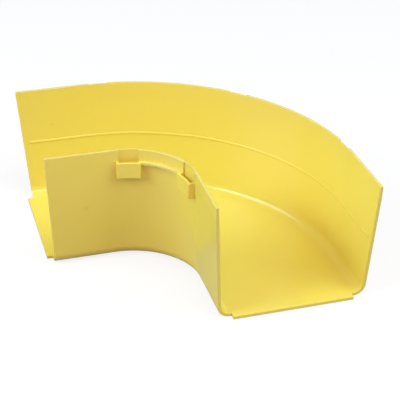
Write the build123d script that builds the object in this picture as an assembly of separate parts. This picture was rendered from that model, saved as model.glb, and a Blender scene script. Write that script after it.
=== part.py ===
from build123d import *
import math
import os

# A 90 degree elbow of open-topped raceway for fibre cords, moulded in one piece.
# The origin is on the underside of the floor, where the centre lines of the two legs cross.
# One leg runs to -X, the other to -Y, and +Z is up. Millimetres and degrees.

# The channel's section
section_width = 120.0           # outside, across the floor
section_height = 100.0
floor_thickness = 2.8
wall_foot = 2.8                 # wall thickness where it meets the floor
wall_rim = 2.3                  # wall thickness at the rim
wall_lean = 4.1                 # how far each wall leans out from the floor to the rim band
rim_band = 9.5                  # upright stretch at the top of the outside faces
corner_radius = 10.0            # outside, between floor and wall
inside_corner_radius = 7.0
rim_edge_radius = 0.4

# The route, along the centre line
bend_radius = 116.0
leg_reach = 173.0               # from the crossing of the centre lines to the outer rim's ends

# The ends, which join to straight channel
end_setback = 7.5               # how far the outer wall's ends lean back from rim to floor
inner_rim_short = 3.0           # how much sooner the inner wall's rim ends than the outer wall's
tongue_length = 5.0             # the floor's run past the foot of the end faces
tongue_inset = 11.0             # from the outside of each wall's foot

# Pockets for the cover's latches, on the outside of both walls
latch_width = 16.0              # inside, along the rim
latch_recess = 1.3              # how deep the rim is thinned above each pocket
pocket_plate = 2.3
pocket_reach = 5.0              # how far a pocket stands out from the rim band
pocket_height = 13.4
inner_pocket_spread = 63.0      # angle between the two pockets of the inner wall
outer_pocket_spread = 80.6      # angle between the first and last pockets of the outer wall

# The ledge that joins the pockets, and the ridge inside the outer wall
ledge_reach = 3.0
ledge_height = 2.3
ridge_level = 52.0
ridge_radius = 0.8
ridge_end_gap = 9.3             # from the outer rim's ends

# Worked-out places
overcut = 1.0                   # how far a cut runs past the face that it opens
half_floor = section_width / 2
half_rim = half_floor + wall_lean
half_rim_inside = half_rim - wall_rim
half_floor_inside = half_floor - wall_foot
band_level = section_height - rim_band
pocket_foot = band_level - pocket_height
bend_centre = -bend_radius      # the same in X and in Y
bend_axis = Axis((bend_centre, bend_centre, 0), (0, 0, 1))
leg_length = leg_reach - bend_radius
bend_turn = 90.0
diagonal = bend_turn / 2        # the elbow is the same on both sides of this angle
INNER, OUTER = -1, 1


def channel_section():
    """The U section, across and up, with its floor on zero."""
    right_side = [
        ((half_floor, 0), corner_radius),
        ((half_rim, band_level), 0),
        ((half_rim, section_height), rim_edge_radius),
        ((half_rim_inside, section_height), rim_edge_radius),
        ((half_floor_inside, floor_thickness), inside_corner_radius),
    ]
    left_side = [((-across, up), radius) for (across, up), radius in reversed(right_side)]
    corners = right_side + left_side
    points = [point for point, radius in corners]
    radii = [radius for point, radius in corners]
    return make_face(FilletPolyline(*points, radius=radii, close=True))


def along_channel(profile, leg):
    """A profile, across and up, run along one leg, round the bend and along the other leg."""
    bend_start = Plane(origin=(0, bend_centre, 0), x_dir=(1, 0, 0), z_dir=(0, -1, 0))
    bend_end = Plane(origin=(bend_centre, 0, 0), x_dir=(0, 1, 0), z_dir=(1, 0, 0))
    bend = revolve(bend_start * profile, axis=bend_axis, revolution_arc=bend_turn)
    first_leg = extrude(bend_end * profile, amount=-leg)
    second_leg = extrude(bend_start * profile, amount=leg)
    return bend + first_leg + second_leg


def ring_sector(radius_a, radius_b, low, high, start, end):
    """A block that follows the bend, between two radii, two levels and two angles."""
    middle = Pos((radius_a + radius_b) / 2, (low + high) / 2)
    profile = Plane.XZ * middle * Rectangle(abs(radius_b - radius_a), high - low)
    sector = revolve(profile, axis=Axis.Z, revolution_arc=end - start)
    return Pos(bend_centre, bend_centre, 0) * Rot(0, 0, start) * sector


def rim_radius(side):
    """Radius of the rim band's outside face in the bend."""
    return bend_radius + side * half_rim


def root_depth(side_height):
    """How deep a block on the leaning wall is rooted, to be in the wall over its whole height."""
    return wall_lean * side_height / band_level + wall_rim / 2


def latch_pocket(side, angle):
    """A loop on the wall's outside, open at the top and bottom."""
    radius = rim_radius(side)
    half_turn = math.degrees((latch_width / 2 + pocket_plate) / radius)
    root = radius - side * root_depth(pocket_height)
    front = radius + side * pocket_reach
    return ring_sector(root, front, pocket_foot, band_level, angle - half_turn, angle + half_turn)


def latch_way(side, angle):
    """The way that a latch takes: down the thinned rim and through the pocket."""
    radius = rim_radius(side)
    half_turn = math.degrees(latch_width / 2 / radius)
    back = radius - side * latch_recess
    front = radius + side * (pocket_reach - pocket_plate)
    top = section_height + overcut
    return ring_sector(back, front, pocket_foot, top, angle - half_turn, angle + half_turn)


def ledge(side, angles):
    """The thin ledge, level with the pockets' tops, from the first pocket to the last."""
    radius = rim_radius(side)
    root = radius - side * root_depth(ledge_height)
    front = radius + side * ledge_reach
    return ring_sector(root, front, band_level - ledge_height, band_level, min(angles), max(angles))


def cable_ridge():
    """The half-round ridge along the channel side of the outer wall."""
    slope = (half_rim_inside - half_floor_inside) / (section_height - floor_thickness)
    across = half_floor_inside + slope * (ridge_level - floor_thickness)
    return along_channel(Pos(across, ridge_level) * Circle(ridge_radius), leg_length - ridge_end_gap)


def end_trim(side, rim_reach):
    """The wedge that leans one wall's end back, for the leg that runs to -Y."""
    foot = -leg_reach + end_setback
    past_end = -leg_reach - overcut
    wedge = Polyline((-rim_reach, section_height), (foot, 0), (past_end, 0), (past_end, section_height), close=True)
    return extrude(Plane.YZ * make_face(wedge), amount=side * (half_rim + overcut))


def end_tongue():
    """The floor's run past the end face, for the leg that runs to -Y."""
    foot = -leg_reach + end_setback
    rooted_length = tongue_length + end_setback
    width = section_width - 2 * tongue_inset
    seat = Pos(0, foot - tongue_length, 0)
    return seat * Box(width, rooted_length, floor_thickness, align=(Align.CENTER, Align.MIN, Align.MIN))


def on_both_legs(block):
    """The block, and its mirror image on the other leg."""
    mirror_plane = Plane(origin=(0, 0, 0), z_dir=(1, -1, 0))
    return [block, mirror(block, about=mirror_plane)]


def raceway_elbow():
    """The whole moulding."""
    pocket_angles = {
        INNER: [diagonal - inner_pocket_spread / 2, diagonal + inner_pocket_spread / 2],
        OUTER: [diagonal - outer_pocket_spread / 2, diagonal, diagonal + outer_pocket_spread / 2],
    }
    body = along_channel(channel_section(), leg_length)
    body -= on_both_legs(end_trim(INNER, leg_reach - inner_rim_short))
    body -= on_both_legs(end_trim(OUTER, leg_reach))
    body += on_both_legs(end_tongue())
    body += cable_ridge()
    for side, angles in pocket_angles.items():
        body += ledge(side, angles)
        body += [latch_pocket(side, angle) for angle in angles]
        body -= [latch_way(side, angle) for angle in angles]
    return body


os.makedirs("parts", exist_ok=True)
elbow = raceway_elbow()
export_step(elbow.solid(), "parts/raceway_elbow.step")
size = elbow.bounding_box().size
print(f"raceway_elbow: {size.X:.1f} x {size.Y:.1f} x {size.Z:.1f} mm, {elbow.volume / 1000:.1f} cm3")
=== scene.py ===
# %% [markdown]
# # A raceway elbow in yellow plastic
# The real object is one injection moulding: an open channel that carries fibre cords round a right angle.
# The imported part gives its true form. This lesson builds a finer mesh of the same form, with the small
# roundings that a mould leaves on every edge, because those roundings catch the light and sharp edges don't.

import math

import bmesh
import bpy
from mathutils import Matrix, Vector


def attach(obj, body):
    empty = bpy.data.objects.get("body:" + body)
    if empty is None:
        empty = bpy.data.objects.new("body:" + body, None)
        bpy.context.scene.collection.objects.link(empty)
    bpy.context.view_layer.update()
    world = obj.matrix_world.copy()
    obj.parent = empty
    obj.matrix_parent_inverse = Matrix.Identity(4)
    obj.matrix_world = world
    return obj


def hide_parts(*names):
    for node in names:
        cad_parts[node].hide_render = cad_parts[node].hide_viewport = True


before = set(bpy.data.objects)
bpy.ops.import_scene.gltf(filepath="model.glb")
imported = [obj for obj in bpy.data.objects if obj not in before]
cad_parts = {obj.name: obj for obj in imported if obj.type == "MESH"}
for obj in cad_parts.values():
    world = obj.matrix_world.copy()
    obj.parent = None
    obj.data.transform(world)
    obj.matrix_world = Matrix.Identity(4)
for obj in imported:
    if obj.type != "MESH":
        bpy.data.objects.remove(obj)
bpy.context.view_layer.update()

# %% [markdown]
# ## The moulding's sizes
# Lengths are in metres and angles in degrees, as on the part's own drawing. The origin is under the floor,
# where the centre lines of the two legs cross: one leg runs to -X and the other to -Y.

# %% Sizes of the section, the route, the ends and the latches
SECTION_HEIGHT = 0.100
HALF_FLOOR = 0.060
WALL_LEAN = 0.0041
HALF_RIM = HALF_FLOOR + WALL_LEAN
FLOOR_THICKNESS = 0.0028
WALL_FOOT = 0.0028
WALL_RIM = 0.0023
BAND_LEVEL = 0.0905             # where the walls turn upright
CORNER_RADIUS = 0.010
INSIDE_CORNER_RADIUS = 0.007
RIM_EDGE_RADIUS = 0.0004

BEND_RADIUS = 0.116
LEG_REACH = 0.173
BEND_CENTRE = Vector((-BEND_RADIUS, -BEND_RADIUS, 0))

END_SETBACK = 0.0075
INNER_RIM_SHORT = 0.0030
TONGUE_LENGTH = 0.0050
HALF_TONGUE = 0.049

LATCH_WIDTH = 0.0160
LATCH_RECESS = 0.0013
POCKET_PLATE = 0.0023
POCKET_REACH = 0.005
POCKET_FOOT = 0.0771
INNER_POCKETS = (13.5, 76.5)
OUTER_POCKETS = (4.7, 45.0, 85.3)

LEDGE_REACH = 0.003
LEDGE_HEIGHT = 0.0023
RIDGE_LEVEL = 0.052
RIDGE_END_GAP = 0.0093

EDGE_ROUNDING = 0.00035         # what a mould leaves on an edge that is drawn sharp
POCKET_ROUNDING = 0.00055
INNER, OUTER = -1, 1
print(f"section {2 * HALF_FLOOR:.3f} x {SECTION_HEIGHT:.3f} m, bend radius {BEND_RADIUS:.3f} m")

# %% [markdown]
# ## Writing node trees as plain expressions
# Both the shapes and the finish below are node trees. Linking every node by hand is long, so one small class
# wraps a socket. Python's operators on it add Math nodes, and its node method adds any other node: its
# settings are set first, because some of them change which sockets there are, and then its values and links.


# %% A wire, from which expressions grow
class Wire:
    """One socket of a node tree, or the bare tree when there is no socket yet."""

    def __init__(self, tree, socket=None):
        self.tree = tree
        self.socket = socket

    def node(self, kind, settings=None, sockets=None, out=0):
        """Adds a node, sets and links it, and returns a wire from one of its outputs."""
        made = self.tree.nodes.new(kind)
        for name, value in (settings or {}).items():
            setattr(made, name, value)
        for name, value in (sockets or {}).items():
            if isinstance(value, Wire):
                self.tree.links.new(value.socket, made.inputs[name])
            else:
                made.inputs[name].default_value = value
        return Wire(self.tree, made.outputs[out] if made.outputs else None)

    def maths(self, operation, first, second):
        """Adds a Math node, or a Vector Math node when a vector comes in."""
        vectors = [x for x in (first, second) if isinstance(x, Wire) and x.socket.type == "VECTOR"]
        kind = "ShaderNodeVectorMath" if vectors else "ShaderNodeMath"
        return self.node(kind, {"operation": operation}, {0: first, 1: second})

    def __add__(self, other):
        return self.maths("ADD", self, other)

    def __radd__(self, other):
        return self.maths("ADD", other, self)

    def __sub__(self, other):
        return self.maths("SUBTRACT", self, other)

    def __rsub__(self, other):
        return self.maths("SUBTRACT", other, self)

    def __mul__(self, other):
        return self.maths("MULTIPLY", self, other)

    def __rmul__(self, other):
        return self.maths("MULTIPLY", other, self)

    def __lt__(self, other):
        return self.maths("LESS_THAN", self, other)

    def __gt__(self, other):
        return self.maths("GREATER_THAN", self, other)


print("operators on a wire: + - * < >")

# %% [markdown]
# ## The yellow plastic
# The fitting is moulded from pigmented plastic with a satin skin. Close to, it isn't one flat colour: the
# pigment is a shade deeper in broad drifts where the melt slowed down, the skin carries the fine grain of the
# mould's steel, and there is a burnt speck here and there and a faint mark on each wall. The rims and the
# ledges are a little paler: partly rubbed by handling, and partly a painted sheen where they catch the light.
# A photograph wrapped round the part would show seams, so everything is worked out from Object coordinates,
# which run through the solid like the pigment does. Where the rims and ledges are paler comes from an
# attribute that the mesh carries.

# %% Noises of the pigment and the skin
plastic = bpy.data.materials.new("satin_yellow_plastic")
plastic.use_nodes = True
plastic_tree = plastic.node_tree
skin = plastic_tree.nodes["Principled BSDF"]
start = Wire(plastic_tree)
place = start.node("ShaderNodeTexCoord", out="Object")


def noise(scale, detail, roughness=0.5, squeeze=(1, 1, 1)):
    """Noise through the solid, from about 0.3 to 0.7, with features about one over scale metres across."""
    spot = start.node("ShaderNodeMapping", sockets={"Vector": place, "Scale": squeeze})
    sizes = {"Vector": spot, "Scale": scale, "Detail": detail, "Roughness": roughness}
    return start.node("ShaderNodeTexNoise", sockets=sizes)


drift = noise(scale=9, detail=3)
mottle = noise(scale=170, detail=4, roughness=0.6)
grain = noise(scale=2400, detail=2)
flow = noise(scale=60, detail=3, roughness=0.55, squeeze=(1, 1, 0.12))
NOISE_MIDDLE = 0.5
print("plastic's noises:", len(plastic_tree.nodes), "nodes so far")

# %% Specks, faint marks, and the paler rims and ledges: wear and painted sheen
SPECK_CELLS = 42.0              # cells in a metre, each with one chance of a speck
SPECK_RADIUS = 0.012            # in cells
SPECKLESS = 0.93                # the share of the cells that have no speck
cells = {"Vector": place, "Scale": SPECK_CELLS, "Randomness": 1.0}
speck_distance = start.node("ShaderNodeTexVoronoi", sockets=cells, out="Distance")
speck_pick = start.node("ShaderNodeTexVoronoi", sockets=cells, out="Color")
speck_chance = start.node("ShaderNodeSeparateColor", sockets={"Color": speck_pick})
specks = (speck_distance < SPECK_RADIUS) * (speck_chance > SPECKLESS)

FAINT_MARKS = (                 # where each is, how far it reaches and how deep its colour is
    ((-0.1435, 0.0602, 0.0667), 0.0019, 0.20),
    ((-0.1382, -0.0623, 0.0508), 0.0030, 0.14),
)
marks = 0.0
for spot, reach, depth in FAINT_MARKS:
    away = start.node("ShaderNodeVectorMath", {"operation": "DISTANCE"}, {0: place, 1: spot}, out="Value")
    marks = start.maths("MAXIMUM", marks, depth - away * (depth / reach))

# The rims' and ledges' paler mark: partly wear, and partly a painted sheen where they catch the light.
rub_and_sheen = start.node("ShaderNodeAttribute", {"attribute_name": "rub_and_sheen"}, out="Fac")
print(f"speck radius {1000 * SPECK_RADIUS / SPECK_CELLS:.2f} mm; faint marks: {len(FAINT_MARKS)}")


# %% The finished skin
def mix_colour(factor, first, second):
    """One colour turning into another."""
    kind = {"data_type": "RGBA", "clamp_factor": True}
    return start.node("ShaderNodeMix", kind, {0: factor, 6: first, 7: second}, out=2)


DEEP_YELLOW = (0.85, 0.725, 0.112, 1)
CLEAR_YELLOW = (0.88, 0.755, 0.125, 1)
RUB_AND_SHEEN_YELLOW = (0.78, 0.69, 0.19, 1)
SPECK_BROWN = (0.42, 0.27, 0.03, 1)
DRIFT_CONTRAST, RUB_AND_SHEEN_STRENGTH, SPECK_STRENGTH = 1.6, 1.4, 0.6
pigment = mix_colour((drift - NOISE_MIDDLE) * DRIFT_CONTRAST + NOISE_MIDDLE, DEEP_YELLOW, CLEAR_YELLOW)
# Painted sheen and wear: the rims and ledges turn paler where the mesh carries the mark.
pigment = mix_colour(rub_and_sheen * mottle * RUB_AND_SHEEN_STRENGTH, pigment, RUB_AND_SHEEN_YELLOW)
pigment = mix_colour(specks * SPECK_STRENGTH, pigment, SPECK_BROWN)
pigment = mix_colour(marks, pigment, SPECK_BROWN)

SATIN, SATIN_MOTTLE, SATIN_FLOW = 0.155, 0.06, 0.04
roughness = SATIN + (mottle - NOISE_MIDDLE) * SATIN_MOTTLE + (flow - NOISE_MIDDLE) * SATIN_FLOW
GRAIN_SHARE, MOTTLE_SHARE, FLOW_SHARE = 0.6, 0.4, 0.5
height = grain * GRAIN_SHARE + mottle * MOTTLE_SHARE + flow * FLOW_SHARE
relief = start.node("ShaderNodeBump", sockets={"Strength": 0.10, "Distance": 0.00025, "Height": height})
for socket, wire in (("Base Color", pigment), ("Roughness", roughness), ("Normal", relief)):
    plastic_tree.links.new(wire.socket, skin.inputs[socket])
skin.inputs["IOR"].default_value = 1.5
print("plastic:", len(plastic_tree.nodes), "nodes")

# %% [markdown]
# ## Outlines and routes
# The channel is one section carried along one route, so it is drawn the way a maker would: a rounded outline,
# and a line to run it along. Both are meshes of edges, because a mesh can carry attributes on its points and
# Geometry Nodes passes them on to the finished surface. On the outline they say where a point is across and
# up, which way is out, how far it leans back at an end, whether a latch has thinned the wall there and
# whether it is paler, from rubbing and a painted sheen. On the route they say where a station is, which
# way is outwards there, where the ends are rounded and where the latches are.

# %% Drawing an outline with rounded corners
FINE_RADIUS = 0.001             # a rounding under this needs few steps
FEW_STEPS, MANY_STEPS = 4, 14


def arc_steps(radius):
    """Enough steps that a rounding looks round: a few on a rim's edge, more on the floor's corners."""
    return FEW_STEPS if radius < FINE_RADIUS else MANY_STEPS


def rounded_outline(corners):
    """Points round a closed outline. A corner is (across, up, radius, marks): its points keep its marks."""
    points = []
    for i, (across, up, radius, marks) in enumerate(corners):
        here = Vector((across, up))
        if radius == 0:
            points.append((here, marks))
            continue
        back = (Vector(corners[i - 1][:2]) - here).normalized()
        onward = (Vector(corners[(i + 1) % len(corners)][:2]) - here).normalized()
        half = back.angle(onward) / 2
        centre = here + (back + onward).normalized() * radius / math.sin(half)
        first = here + back * radius / math.tan(half) - centre
        last = here + onward * radius / math.tan(half) - centre
        turn = math.atan2(first.x * last.y - first.y * last.x, first.dot(last))
        steps = arc_steps(radius)
        for step in range(steps + 1):
            c, s = math.cos(turn * step / steps), math.sin(turn * step / steps)
            arm = Vector((first.x * c - first.y * s, first.x * s + first.y * c))
            points.append((centre + arm, marks))
    return points


def outward(points, i):
    """The direction out of the outline at a point, for an outline drawn anticlockwise."""
    before = (points[i][0] - points[i - 1][0]).normalized()
    after = (points[(i + 1) % len(points)][0] - points[i][0]).normalized()
    along = (before + after).normalized()
    return Vector((along.y, -along.x))


print("a rim edge takes", arc_steps(RIM_EDGE_RADIUS), "steps and a floor corner", arc_steps(CORNER_RADIUS))


# %% Turning outlines and routes into meshes that carry attributes
def line_mesh(name, points, attributes, closed):
    """A mesh of edges through points, with float or vector attributes on them."""
    count = len(points)
    edges = [(i, (i + 1) % count) for i in range(count if closed else count - 1)]
    mesh = bpy.data.meshes.new(name)
    mesh.from_pydata(points, edges, [])
    for label, values in attributes.items():
        vector = hasattr(values[0], "__len__")
        layer = mesh.attributes.new(label, "FLOAT_VECTOR" if vector else "FLOAT", "POINT")
        flat = [x for value in values for x in value] if vector else list(values)
        layer.data.foreach_set("vector" if vector else "value", flat)
    return bpy.data.objects.new(name, mesh)


def end_lean(point):
    """How far back a point is at the ends: fully at the floor, and not quite nothing at the inner rim."""
    rise = point.y / SECTION_HEIGHT
    return 1 - rise + (rise * INNER_RIM_SHORT / END_SETBACK if point.x < 0 else 0)


def section_object(name, corners):
    """An outline, drawn head down because a curve that is swept turns its profile over."""
    outline = rounded_outline(corners)
    ways = [outward(outline, i) for i in range(len(outline))]
    attributes = {
        "across": [point.x for point, _ in outline],
        "up": [point.y for point, _ in outline],
        "face_across": [way.x for way in ways],
        "face_up": [way.y for way in ways],
        "lean_back": [end_lean(point) for point, _ in outline],
    }
    for label in ("inner_thin", "outer_thin", "end_sharp", "rub_and_sheen"):
        attributes[label] = [float(marks.get(label, 0)) for _, marks in outline]
    flat = [(point.x, -point.y, 0) for point, _ in outline]
    return line_mesh(name, flat, attributes, closed=True)


def place_on_route(leg, where):
    """Where a station is, and the way outwards across the channel there."""
    if leg == "bend":
        out = Vector((math.cos(math.radians(where)), math.sin(math.radians(where)), 0))
        return BEND_CENTRE + out * BEND_RADIUS, out
    if leg == "front":
        return Vector((0, -where, 0)), Vector((1, 0, 0))
    return Vector((-where, 0, 0)), Vector((0, 1, 0))


def route_object(name, stations):
    """A route from the front leg's end to the left leg's. A station is (leg, where, marks)."""
    places = [place_on_route(leg, where) for leg, where, _ in stations]
    pulls = {"front": (0, 1, 0), "left": (1, 0, 0)}
    attributes = {
        "here": [tuple(place) for place, _ in places],
        "outwards": [tuple(out) for _, out in places],
        "end_pull": [pulls[leg] if marks.get("leans") else (0, 0, 0) for leg, _, marks in stations],
    }
    for label in ("inset", "inner_latch", "outer_latch"):
        attributes[label] = [float(marks.get(label, 0)) for _, _, marks in stations]
    return line_mesh(name, [tuple(place) for place, _ in places], attributes, closed=False)


print("attributes ready: outline 9, route 6")

# %% [markdown]
# ## One tree that runs a section along a route
# Curve to Mesh makes the faces and hands on the attributes, and Set Position then puts every point in its
# exact place from them. A plain sweep would turn the outline a little at each uneven step of the route, so
# that close stations cross and shade as dark lines. Placing the points also does what a sweep can't: it
# leans the ends back, rounds their edges and thins the wall where a latch goes. Cutting a finished mesh
# would leave slivers; here every face along the route is a quad.


# %% Opening and closing a tree
def open_tree(name, inputs):
    """A new tree with named inputs: its bare wire, and a wire from each input."""
    tree = bpy.data.node_groups.new(name, "GeometryNodeTree")
    for label, kind in inputs.items():
        tree.interface.new_socket(label, in_out="INPUT", socket_type=kind)
    tree.interface.new_socket("Geometry", in_out="OUTPUT", socket_type="NodeSocketGeometry")
    group = tree.nodes.new("NodeGroupInput")
    return Wire(tree), {label: Wire(tree, group.outputs[label]) for label in inputs}


def close_tree(begin, geometry, material):
    """Makes real mesh of a tree's geometry, gives it its material and hands it on."""
    whole = begin.node("GeometryNodeRealizeInstances", sockets={0: geometry})
    painted = begin.node("GeometryNodeSetMaterial", sockets={"Geometry": whole, "Material": material})
    begin.node("NodeGroupOutput", sockets={"Geometry": painted})
    print(f"{begin.tree.name}: {len(begin.tree.nodes)} nodes")
    return begin.tree


print("ready to open and close trees")


# %% The tree that runs a section along a route
def run_tree():
    """The tree that makes the faces and puts every point in its place."""
    begin, given = open_tree("run_along_route", {
        "Section": "NodeSocketObject",
        "Route": "NodeSocketObject",
        "End Setback": "NodeSocketFloat",
        "Edge Rounding": "NodeSocketFloat",
        "Latch Recess": "NodeSocketFloat",
        "Material": "NodeSocketMaterial",
    })

    def carried(label, kind="FLOAT"):
        return begin.node("GeometryNodeInputNamedAttribute", {"data_type": kind}, {"Name": label})

    def scaled(label, amount):
        vector = carried(label, "FLOAT_VECTOR")
        return begin.node("ShaderNodeVectorMath", {"operation": "SCALE"}, {0: vector, "Scale": amount})

    def curve_of(label):
        source = begin.node("GeometryNodeObjectInfo", sockets={"Object": given[label]}, out="Geometry")
        return begin.node("GeometryNodeMeshToCurve", sockets={0: source})

    route = begin.node("GeometryNodeSetCurveNormal", {"mode": "Z_UP"}, {0: curve_of("Route")})
    sweep = {"Curve": route, "Profile Curve": curve_of("Section"), "Fill Caps": True}
    surface = begin.node("GeometryNodeCurveToMesh", sockets=sweep)

    rounding = carried("inset") * given["Edge Rounding"] * (1 - carried("end_sharp"))
    thinning = carried("inner_thin") * carried("inner_latch") - carried("outer_thin") * carried("outer_latch")
    across = carried("across") + thinning * given["Latch Recess"] - carried("face_across") * rounding
    upwards = begin.node("ShaderNodeCombineXYZ", sockets={"Z": carried("up") - carried("face_up") * rounding})
    lean = scaled("end_pull", carried("lean_back") * given["End Setback"])
    spot = carried("here", "FLOAT_VECTOR") + scaled("outwards", across) + upwards + lean
    moved = begin.node("GeometryNodeSetPosition", sockets={"Geometry": surface, "Position": spot})
    return close_tree(begin, moved, given["Material"])


RUN = run_tree()


# %% Running the tree and keeping its result as a plain mesh
def grow(name, tree, values, helpers):
    """Puts the tree on an empty mesh, sets its inputs, and returns the evaluated result."""
    holder = bpy.data.objects.new(name, bpy.data.meshes.new(name))
    for thing in [holder, *helpers]:
        bpy.context.scene.collection.objects.link(thing)
    modifier = holder.modifiers.new(name, "NODES")
    modifier.node_group = tree
    for item in tree.interface.items_tree:
        if item.in_out == "INPUT":
            modifier[item.identifier] = values[item.name]
    depsgraph = bpy.context.evaluated_depsgraph_get()
    mesh = bpy.data.meshes.new_from_object(holder.evaluated_get(depsgraph), depsgraph=depsgraph)
    mesh.name = name
    holder.modifiers.remove(modifier)
    for thing in [holder, *helpers]:
        bpy.data.objects.remove(thing)
    print(f"{name}: {len(mesh.vertices)} points, {len(mesh.polygons)} faces")
    return mesh


def run(name, corners, stations, setback=0.0, rounding=EDGE_ROUNDING):
    """A section run along a route."""
    section = section_object(name + "_section", corners)
    route = route_object(name + "_route", stations)
    values = {
        "Section": section,
        "Route": route,
        "End Setback": setback,
        "Edge Rounding": rounding,
        "Latch Recess": LATCH_RECESS,
        "Material": plastic,
    }
    return grow(name, RUN, values, [section, route])


END_STEPS = 4


def rounded_end(leg, tip, leans=False, rounding=EDGE_ROUNDING):
    """Stations that round off the end of a run, from just inside its tip out to the tip."""
    stations = []
    for step in range(END_STEPS + 1):
        a = math.pi / 2 * step / END_STEPS
        marks = {"inset": 1 - math.cos(a), "leans": leans}
        stations.append((leg, tip - rounding * (1 - math.sin(a)), marks))
    return stations


print("ready to run sections, with", END_STEPS, "steps round the edges of their ends")

# %% [markdown]
# ## The channel
# The U section has a flat floor, big round corners, walls that lean out so that the moulding leaves its
# mould, and an upright band at the rim for the cover. Its outline goes anticlockwise from the floor's
# underside up the outer wall. Two points close together soften the line where the wall turns upright, and a
# point a millimetre below each edge of the rim keeps the rim's paleness up there, which is partly wear and
# partly a painted sheen: a surface blends its points' attributes, so without it the paleness would fade
# all the way down the wall. Where a latch of the cover comes down, the band is thinned: four stations round
# the outer edge of that step and a fifth drops to the thinned face.

# %% The channel's section
TINY = 0.00001                  # keeps the two points of a step apart
# The rim's paler band below is partly rubbed and partly a painted sheen.
RUB_AND_SHEEN_DEPTH = 0.0012              # how far down from the rim it is rubbed
BAND_EDGE = 0.0003              # half the width of the soft line where the wall turns upright
BELOW_BAND_THIN = 0.99          # the recess's share just below the band, where the wall already leans in
TONGUE_SEAM = 0.0001            # each way from the tongue's side, where the end's rounding starts
latch_back = HALF_RIM - LATCH_RECESS
wall_at_pocket_foot = HALF_FLOOR + WALL_LEAN * POCKET_FOOT / BAND_LEVEL
wall_slope = (HALF_RIM - WALL_RIM - HALF_FLOOR + WALL_FOOT) / (SECTION_HEIGHT - FLOOR_THICKNESS)


def channel_side(side, thin):
    """One side's corners, from the middle of the underside up the wall and down to the floor."""
    thinned_at_foot = (wall_at_pocket_foot - latch_back) / LATCH_RECESS
    wall_below_band = HALF_RIM - WALL_LEAN * BAND_EDGE / BAND_LEVEL
    rim_inside = HALF_RIM - WALL_RIM
    rub_level = SECTION_HEIGHT - RUB_AND_SHEEN_DEPTH
    return [
        (side * (HALF_TONGUE - TONGUE_SEAM), 0, 0, {"end_sharp": 1}),
        (side * (HALF_TONGUE + TONGUE_SEAM), 0, 0, {}),
        (side * HALF_FLOOR, 0, CORNER_RADIUS, {}),
        (side * wall_at_pocket_foot, POCKET_FOOT - TINY, 0, {}),
        (side * wall_at_pocket_foot, POCKET_FOOT + TINY, 0, {thin: thinned_at_foot}),
        (side * wall_below_band, BAND_LEVEL - BAND_EDGE, 0, {thin: BELOW_BAND_THIN}),
        (side * HALF_RIM, BAND_LEVEL + BAND_EDGE, 0, {thin: 1}),
        (side * HALF_RIM, rub_level, 0, {thin: 1}),
        # The rim's edges carry the paler mark: partly wear, partly painted sheen.
        (side * HALF_RIM, SECTION_HEIGHT, RIM_EDGE_RADIUS, {thin: 1, "rub_and_sheen": 1}),
        (side * rim_inside, SECTION_HEIGHT, RIM_EDGE_RADIUS, {"rub_and_sheen": 1}),
        (side * (rim_inside - wall_slope * RUB_AND_SHEEN_DEPTH), rub_level, 0, {}),
        (side * (HALF_FLOOR - WALL_FOOT), FLOOR_THICKNESS, INSIDE_CORNER_RADIUS, {}),
        (side * (HALF_TONGUE + TONGUE_SEAM), FLOOR_THICKNESS, 0, {}),
        (side * (HALF_TONGUE - TONGUE_SEAM), FLOOR_THICKNESS, 0, {"end_sharp": 1}),
    ]


channel_corners = channel_side(OUTER, "outer_thin") + channel_side(INNER, "inner_thin")[::-1]
print("channel section:", len(rounded_outline(channel_corners)), "points")

# %% The channel's route, with a step at both edges of every latch
BEND_STEPS = 60
even_angles = [90 * i / BEND_STEPS for i in range(BEND_STEPS + 1)]
STEP_CLEARANCE = 0.12           # degrees that an even station keeps from a latch's step
LATCH_STEP = (                  # how far inside the latch's edge a station is, and its share of the recess
    (-0.00035, 0),
    (-0.00018, 0.03),
    (-0.00005, 0.12),
    (0, 0.27),
    (0.00003, 1),
)


def rim_radius(side):
    """Radius of a wall's upright band in the bend."""
    return BEND_RADIUS + side * HALF_RIM


def latch_half_turn(side):
    """Half the angle that a latch takes along the rim."""
    return math.degrees(LATCH_WIDTH / 2 / rim_radius(side))


def latch_stations(side, angle):
    """Stations at the edges of one latch's way, as (angle, label, share of the recess)."""
    label = "inner_latch" if side == INNER else "outer_latch"
    found = []
    for way in (-1, 1):
        edge = angle + way * latch_half_turn(side)
        for inside, share in LATCH_STEP:
            found.append((edge - way * math.degrees(inside / rim_radius(side)), label, share))
    return found


def bend_stations():
    """Every station of the bend in order, with the steps of the latches among even ones."""
    steps = [s for a in INNER_POCKETS for s in latch_stations(INNER, a)]
    steps += [s for a in OUTER_POCKETS for s in latch_stations(OUTER, a)]
    even = [a for a in even_angles if a in (0, 90) or all(abs(a - s[0]) > STEP_CLEARANCE for s in steps)]
    stations = []
    for angle in sorted(even + [s[0] for s in steps]):
        marks = {
            "inner_latch": any(abs(angle - a) < latch_half_turn(INNER) for a in INNER_POCKETS),
            "outer_latch": any(abs(angle - a) < latch_half_turn(OUTER) for a in OUTER_POCKETS),
        }
        marks.update({label: share for at, label, share in steps if at == angle})
        stations.append(("bend", angle, marks))
    return stations


front_end = rounded_end("front", LEG_REACH, leans=True)[::-1]
left_end = rounded_end("left", LEG_REACH, leans=True)
channel_stations = front_end + bend_stations() + left_end
channel = run("channel", channel_corners, channel_stations, setback=END_SETBACK)

# %% [markdown]
# ## The tongues
# At each end the floor runs on for a few millimetres, to go under the next channel's floor. A tongue is a
# flat plate with rounded edges, so it is the same tree with a short straight route. It starts just inside
# the channel's end.

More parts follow.
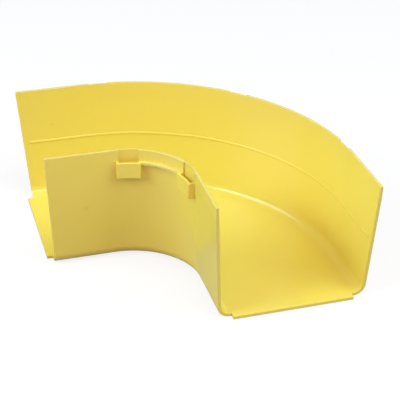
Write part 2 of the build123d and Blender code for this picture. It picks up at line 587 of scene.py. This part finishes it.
# %% Two tongues
TONGUE_ROOT = 0.0003            # how far inside the channel's end it starts, drawn in by half its rounding
TONGUE_FULL = 0.00015           # how far outside that end it has its full size
tongue_foot = LEG_REACH - END_SETBACK
tongue_corners = [
    (HALF_TONGUE, 0, EDGE_ROUNDING, {}),
    (HALF_TONGUE, FLOOR_THICKNESS, EDGE_ROUNDING, {}),
    (-HALF_TONGUE, FLOOR_THICKNESS, EDGE_ROUNDING, {}),
    (-HALF_TONGUE, 0, EDGE_ROUNDING, {}),
]


def tongue_stations(leg):
    """From inside the channel's floor out to the rounded tip."""
    root = [(leg, tongue_foot - TONGUE_ROOT, {"inset": 0.5}), (leg, tongue_foot + TONGUE_FULL, {})]
    return root + rounded_end(leg, tongue_foot + TONGUE_LENGTH)


tongues = [
    run("front_tongue", tongue_corners, tongue_stations("front")[::-1]),
    run("left_tongue", tongue_corners, tongue_stations("left")),
]

# %% [markdown]
# ## The ridge and the ledges
# A low rounded ridge runs along the channel side of the outer wall, and a square ledge joins the latch
# pockets on the outside of both walls. Each is a small section on the same route, rooted in the wall so that
# no gap shows. The ridge's section is a flat oval, half in the wall, because so small a form sets softer
# than it was drawn.

# %% The ridge inside the outer wall
RIDGE_REACH = 0.0006
RIDGE_HALF_HEIGHT = 0.0012
RIDGE_POINTS = 16
RIDGE_TAPER = 0.95              # how much of its reach the ridge loses at its ends
ridge_across = HALF_FLOOR - WALL_FOOT + wall_slope * (RIDGE_LEVEL - FLOOR_THICKNESS)
ridge_corners = []
for k in range(RIDGE_POINTS):
    a = 2 * math.pi * k / RIDGE_POINTS
    out, rise = RIDGE_REACH * math.cos(a), RIDGE_HALF_HEIGHT * math.sin(a)
    ridge_corners.append((ridge_across + out, RIDGE_LEVEL + rise, 0, {}))
ridge_tip = LEG_REACH - RIDGE_END_GAP
ridge_rounding = RIDGE_TAPER * RIDGE_REACH
ridge_stations = rounded_end("front", ridge_tip, rounding=ridge_rounding)[::-1]
ridge_stations += [("bend", angle, {}) for angle in even_angles]
ridge_stations += rounded_end("left", ridge_tip, rounding=ridge_rounding)
ridge = run("ridge", ridge_corners, ridge_stations, rounding=ridge_rounding)

# %% The ledges between the pockets
LEDGE_ROOT = 0.0012             # how deep a ledge is rooted in the wall
LEDGE_DROP = 0.00002            # keeps a ledge's top out of the plane of the pockets' tops
INTO_POCKET = 0.93              # a ledge ends in the pocket's side plate, at this share of its half angle
LEDGE_STEPS = 40


def ledge_corners(side):
    """A square ledge, anticlockwise, from inside the wall to its reach."""
    root, front = HALF_RIM - LEDGE_ROOT, HALF_RIM + LEDGE_REACH
    low, high = BAND_LEVEL - LEDGE_HEIGHT, BAND_LEVEL - LEDGE_DROP
    square = [(root, low), (front, low), (front, high), (root, high)]
    if side == INNER:
        square = [(-across, up) for across, up in square][::-1]
    # The whole ledge carries the paler mark: partly wear, partly painted sheen.
    return [(across, up, EDGE_ROUNDING, {"rub_and_sheen": 1}) for across, up in square]


ledges = []
for side, pockets in ((INNER, INNER_POCKETS), (OUTER, OUTER_POCKETS)):
    clear = INTO_POCKET * math.degrees((LATCH_WIDTH / 2 + POCKET_PLATE) / rim_radius(side))
    for first, last in zip(pockets, pockets[1:]):
        span = last - first - 2 * clear
        stops = [("bend", first + clear + span * k / LEDGE_STEPS, {}) for k in range(LEDGE_STEPS + 1)]
        ledges.append(run("ledge", ledge_corners(side), stops))

# %% [markdown]
# ## The latch pockets
# A pocket is a loop of plate on the wall, open above and below, that a latch of the cover goes through. Its
# front follows the bend and its sides point at the bend's centre. One pocket is drawn at angle zero in plain
# mesh code and bevelled, and a second tree sets copies of it round the bend, as many as the wall has. The
# bevel is wider than the other edges' rounding, so that the pocket's edges catch a line of light that can be
# seen from a metre away.

# %% One pocket
FRONT_STEPS = 16
BEVELLED_TURN = 40              # edges that turn more than this are bevelled
BEVEL_STEPS = 3


def pocket_object(side):
    """A pocket at angle zero, about the bend's axis, rooted as deep as the rim is thinned."""
    radius = rim_radius(side)
    root, front = radius - side * LATCH_RECESS, radius + side * POCKET_REACH
    back = front - side * POCKET_PLATE
    inside = LATCH_WIDTH / 2 / radius
    outside = (LATCH_WIDTH / 2 + POCKET_PLATE) / radius
    shares = [2 * k / FRONT_STEPS - 1 for k in range(FRONT_STEPS + 1)]
    walk = [(-outside, root, -inside, root)]
    walk += [(outside * share, front, inside * share, back) for share in shares]
    walk += [(outside, root, inside, root)]
    mesh = bmesh.new()
    rows = []
    for a, far, b, near in walk:
        corners = [(a, far, POCKET_FOOT), (a, far, BAND_LEVEL), (b, near, BAND_LEVEL), (b, near, POCKET_FOOT)]
        rows.append([mesh.verts.new((r * math.cos(t), r * math.sin(t), z)) for t, r, z in corners])
    for one, two in zip(rows, rows[1:]):
        for k in range(len(one)):
            after = (k + 1) % len(one)
            mesh.faces.new((one[k], one[after], two[after], two[k]))
    mesh.faces.new(rows[0])
    mesh.faces.new(rows[-1][::-1])
    bmesh.ops.recalc_face_normals(mesh, faces=mesh.faces)
    bmesh.ops.bevel(
        mesh,
        geom=[edge for edge in mesh.edges if edge.calc_face_angle(0) > math.radians(BEVELLED_TURN)],
        offset=POCKET_ROUNDING,
        segments=BEVEL_STEPS,
        profile=0.5,
        affect="EDGES",
        clamp_overlap=True,
    )
    shape = bpy.data.meshes.new("pocket")
    mesh.to_mesh(shape)
    mesh.free()
    print("one pocket:", len(shape.vertices), "points")
    return bpy.data.objects.new("pocket", shape)


one_pocket = {side: pocket_object(side) for side in (INNER, OUTER)}


# %% The tree that sets pockets round the bend
def pocket_tree():
    """The tree that turns copies of one pocket about the bend's axis."""
    begin, given = open_tree("pockets_round_bend", {
        "Pocket": "NodeSocketObject",
        "Count": "NodeSocketInt",
        "First Angle": "NodeSocketFloat",
        "Angle Step": "NodeSocketFloat",
        "Bend Centre": "NodeSocketVector",
        "Material": "NodeSocketMaterial",
    })
    wanted = {"Object": given["Pocket"], "As Instance": True}
    pocket = begin.node("GeometryNodeObjectInfo", sockets=wanted, out="Geometry")
    row = {"Count": given["Count"], "Position": given["Bend Centre"]}
    points = begin.node("GeometryNodePoints", sockets=row)
    number = begin.node("GeometryNodeInputIndex")
    angle = given["First Angle"] + number * given["Angle Step"]
    turn = begin.node("ShaderNodeCombineXYZ", sockets={"Z": angle})
    set_out = {"Points": points, "Instance": pocket, "Rotation": turn}
    ring = begin.node("GeometryNodeInstanceOnPoints", sockets=set_out)
    return close_tree(begin, ring, given["Material"])


POCKETS = pocket_tree()

# %% Pockets round both walls
pocket_sets = []
for name, side, angles in (("inner_pockets", INNER, INNER_POCKETS), ("outer_pockets", OUTER, OUTER_POCKETS)):
    values = {
        "Pocket": one_pocket[side],
        "Count": len(angles),
        "First Angle": math.radians(angles[0]),
        "Angle Step": math.radians(angles[1] - angles[0]),
        "Bend Centre": BEND_CENTRE,
        "Material": plastic,
    }
    pocket_sets.append(grow(name, POCKETS, values, [one_pocket[side]]))

# %% [markdown]
# ## One moulding
# On the real fitting all of this is one shot of plastic, so the meshes become one object. Edges that turn
# sharply stay crisp, and weighted normals keep the large flat faces flat beside their small roundings.

# %% Joining the moulding
SHARP_TURN = 38                 # edges that turn more than this stay crisp
joined = bmesh.new()
for mesh in [channel, *tongues, ridge, *ledges, *pocket_sets]:
    joined.from_mesh(mesh)
    bpy.data.meshes.remove(mesh)
bmesh.ops.recalc_face_normals(joined, faces=joined.faces)
for face in joined.faces:
    face.smooth = True
    face.material_index = 0
moulding_mesh = bpy.data.meshes.new("raceway_elbow_moulding")
joined.to_mesh(moulding_mesh)
joined.free()
moulding_mesh.set_sharp_from_angle(angle=math.radians(SHARP_TURN))
moulding_mesh.materials.clear()
moulding_mesh.materials.append(plastic)
moulding = bpy.data.objects.new("raceway_elbow_moulding", moulding_mesh)
bpy.context.scene.collection.objects.link(moulding)
print("joined:", len(moulding_mesh.vertices), "points")

# %% Weighting its normals, and handing it over
weighting = moulding.modifiers.new("flat_faces_stay_flat", "WEIGHTED_NORMAL")
weighting.keep_sharp = True
depsgraph = bpy.context.evaluated_depsgraph_get()
weighted = bpy.data.meshes.new_from_object(moulding.evaluated_get(depsgraph), depsgraph=depsgraph)
moulding.modifiers.remove(weighting)
moulding.data = weighted
bpy.data.meshes.remove(moulding_mesh)
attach(moulding, "root")
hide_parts("raceway_elbow")
print("moulding:", sum(len(p.vertices) - 2 for p in weighted.polygons), "triangles")

# %% [markdown]
# ## Floor and light
# The fitting lies on a pale sweep under soft studio light. A wide key panel on the left shines along the left
# leg's channel into the bend, and a narrow strip beside it draws the white line of gloss in the corner of the
# floor. Two wide, slightly cool panels in front on the right open the shadows, and a weak warm one in front
# on the left gives the shaded wall its warm tone. The floor shows white to the camera and still takes the
# shadow. It is much less white in reflections, because the fitting shades the paper that its walls reflect,
# and grey in the light it throws back.

# %% The floor, which sweeps up into a backdrop all round
FLOOR_LEVEL = -0.0002
FLAT_RADIUS, SWEEP_RADIUS = 3.0, 1.6
SWEEP_STEPS, AROUND = 12, 64
profile = [(FLAT_RADIUS, 0.0)]
for step in range(1, SWEEP_STEPS + 1):
    a = math.pi / 2 * step / SWEEP_STEPS
    profile.append((FLAT_RADIUS + SWEEP_RADIUS * math.sin(a), SWEEP_RADIUS * (1 - math.cos(a))))
turns = [2 * math.pi * k / AROUND for k in range(AROUND)]
floor_points = [(r * math.cos(t), r * math.sin(t), FLOOR_LEVEL + z) for r, z in profile for t in turns]
floor_faces = [tuple(range(AROUND))]
for ring in range(SWEEP_STEPS):
    for k in range(AROUND):
        here, next_one = ring * AROUND + k, ring * AROUND + (k + 1) % AROUND
        floor_faces.append((here, here + AROUND, next_one + AROUND, next_one))
floor_mesh = bpy.data.meshes.new("floor")
floor_mesh.from_pydata(floor_points, [], floor_faces)
floor = bpy.data.objects.new("floor", floor_mesh)
bpy.context.scene.collection.objects.link(floor)
print("floor:", 2 * FLAT_RADIUS, "m across, then a sweep", SWEEP_RADIUS, "m high")

# %% The paper that it is made of
PAPER_GREY = 0.40               # kept low, so that the paper throws little light back at the fitting
WHITENESS = {"Is Camera Ray": 0.80, "Is Glossy Ray": 0.13, "Is Transmission Ray": 0.80}
paper = bpy.data.materials.new("white_paper")
paper.use_nodes = True
paper_tree = paper.node_tree
paper_tree.nodes.remove(paper_tree.nodes["Principled BSDF"])
on_paper = Wire(paper_tree)
matt = on_paper.node("ShaderNodeBsdfDiffuse", sockets={"Color": (PAPER_GREY, PAPER_GREY, PAPER_GREY, 1)})
pale = on_paper.node("ShaderNodeBsdfDiffuse", sockets={"Color": (1, 1, 1, 1)})
white = on_paper.node("ShaderNodeEmission", sockets={"Color": (1, 1, 1, 1), "Strength": 1.0})
clear = on_paper.node("ShaderNodeBsdfTransparent")
seen = 0.0
for ray, share in WHITENESS.items():
    seen = on_paper.maths("MAXIMUM", seen, on_paper.node("ShaderNodeLightPath", out=ray) * share)
looked_at = on_paper.node("ShaderNodeLightPath", out="Is Camera Ray")
from_below = on_paper.node("ShaderNodeNewGeometry", out="Backfacing")
shaded = on_paper.node("ShaderNodeMixShader", sockets={0: looked_at, 1: matt, 2: pale})
lit = on_paper.node("ShaderNodeMixShader", sockets={0: seen, 1: shaded, 2: white})
sheet = on_paper.node("ShaderNodeMixShader", sockets={0: from_below, 1: lit, 2: clear})
paper_tree.links.new(sheet.socket, paper_tree.nodes["Material Output"].inputs["Surface"])
floor_mesh.materials.append(paper)
print("paper:", len(paper_tree.nodes), "nodes")

# %% The world and the panels
WORLD_COLOUR, WORLD_LEVEL = (1.0, 0.93, 0.97, 1), 0.38
world = bpy.data.worlds.new("studio")
bpy.context.scene.world = world
world.use_nodes = True
background = world.node_tree.nodes["Background"]
background.inputs["Color"].default_value = WORLD_COLOUR
background.inputs["Strength"].default_value = WORLD_LEVEL

AIM = Vector((-0.03, -0.03, 0.04))
PANEL_DISTANCE = 1.6


def panel(name, azimuth, elevation, width, height, watts, tint):
    """An oval soft panel, facing the fitting. Azimuth 0 is in front of the fitting and 90 on its right."""
    a, e = math.radians(azimuth), math.radians(elevation)
    way = Vector((math.sin(a) * math.cos(e), -math.cos(a) * math.cos(e), math.sin(e)))
    lamp = bpy.data.lights.new(name, "AREA")
    lamp.shape = "ELLIPSE"
    lamp.size = width
    lamp.size_y = height
    lamp.energy = watts
    lamp.color = tint
    holder = bpy.data.objects.new(name, lamp)
    holder.location = AIM + way * PANEL_DISTANCE
    holder.rotation_euler = (-way).to_track_quat("-Z", "Y").to_euler()
    bpy.context.scene.collection.objects.link(holder)
    return holder


panels = [
    panel("key_left", 270, 35, 1.2, 1.2, 13.3, (0.81, 0.985, 1.0)),
    panel("key_strip", 285, 33, 0.75, 0.20, 5.0, (0.70, 0.82, 1.0)),
    panel("high_front", 30, 55, 1.2, 1.2, 10.7, (0.84, 0.935, 1.0)),
    panel("right_front", 60, 35, 1.2, 1.2, 8.8, (0.80, 0.94, 1.0)),
    panel("warm_front", 330, 35, 1.2, 1.2, 4.5, (1.0, 0.12, 0.20)),
]
print("panels:", [p.name for p in panels])

# %% [markdown]
# ## The camera
# The view is from in front, a little to the left, and about 30 degrees above the floor, through a long lens:
# the far wall is nearly the same height in the picture as the near one. The place was worked out from the
# outline.

# %% The camera
FOCAL_LENGTH_PIXELS, PICTURE_PIXELS = 1177.67, 400
camera = bpy.data.objects.new("camera", bpy.data.cameras.new("camera"))
bpy.context.scene.collection.objects.link(camera)
camera.location = (-0.279209, -0.859869, 0.527345)
camera.rotation_euler = (1.04385, -0.00639, -0.28252)
camera.data.sensor_width = 36.0
camera.data.lens = FOCAL_LENGTH_PIXELS / PICTURE_PIXELS * camera.data.sensor_width
bpy.context.scene.camera = camera
bpy.context.scene.view_settings.view_transform = "Standard"
print(f"lens {camera.data.lens:.1f} mm")
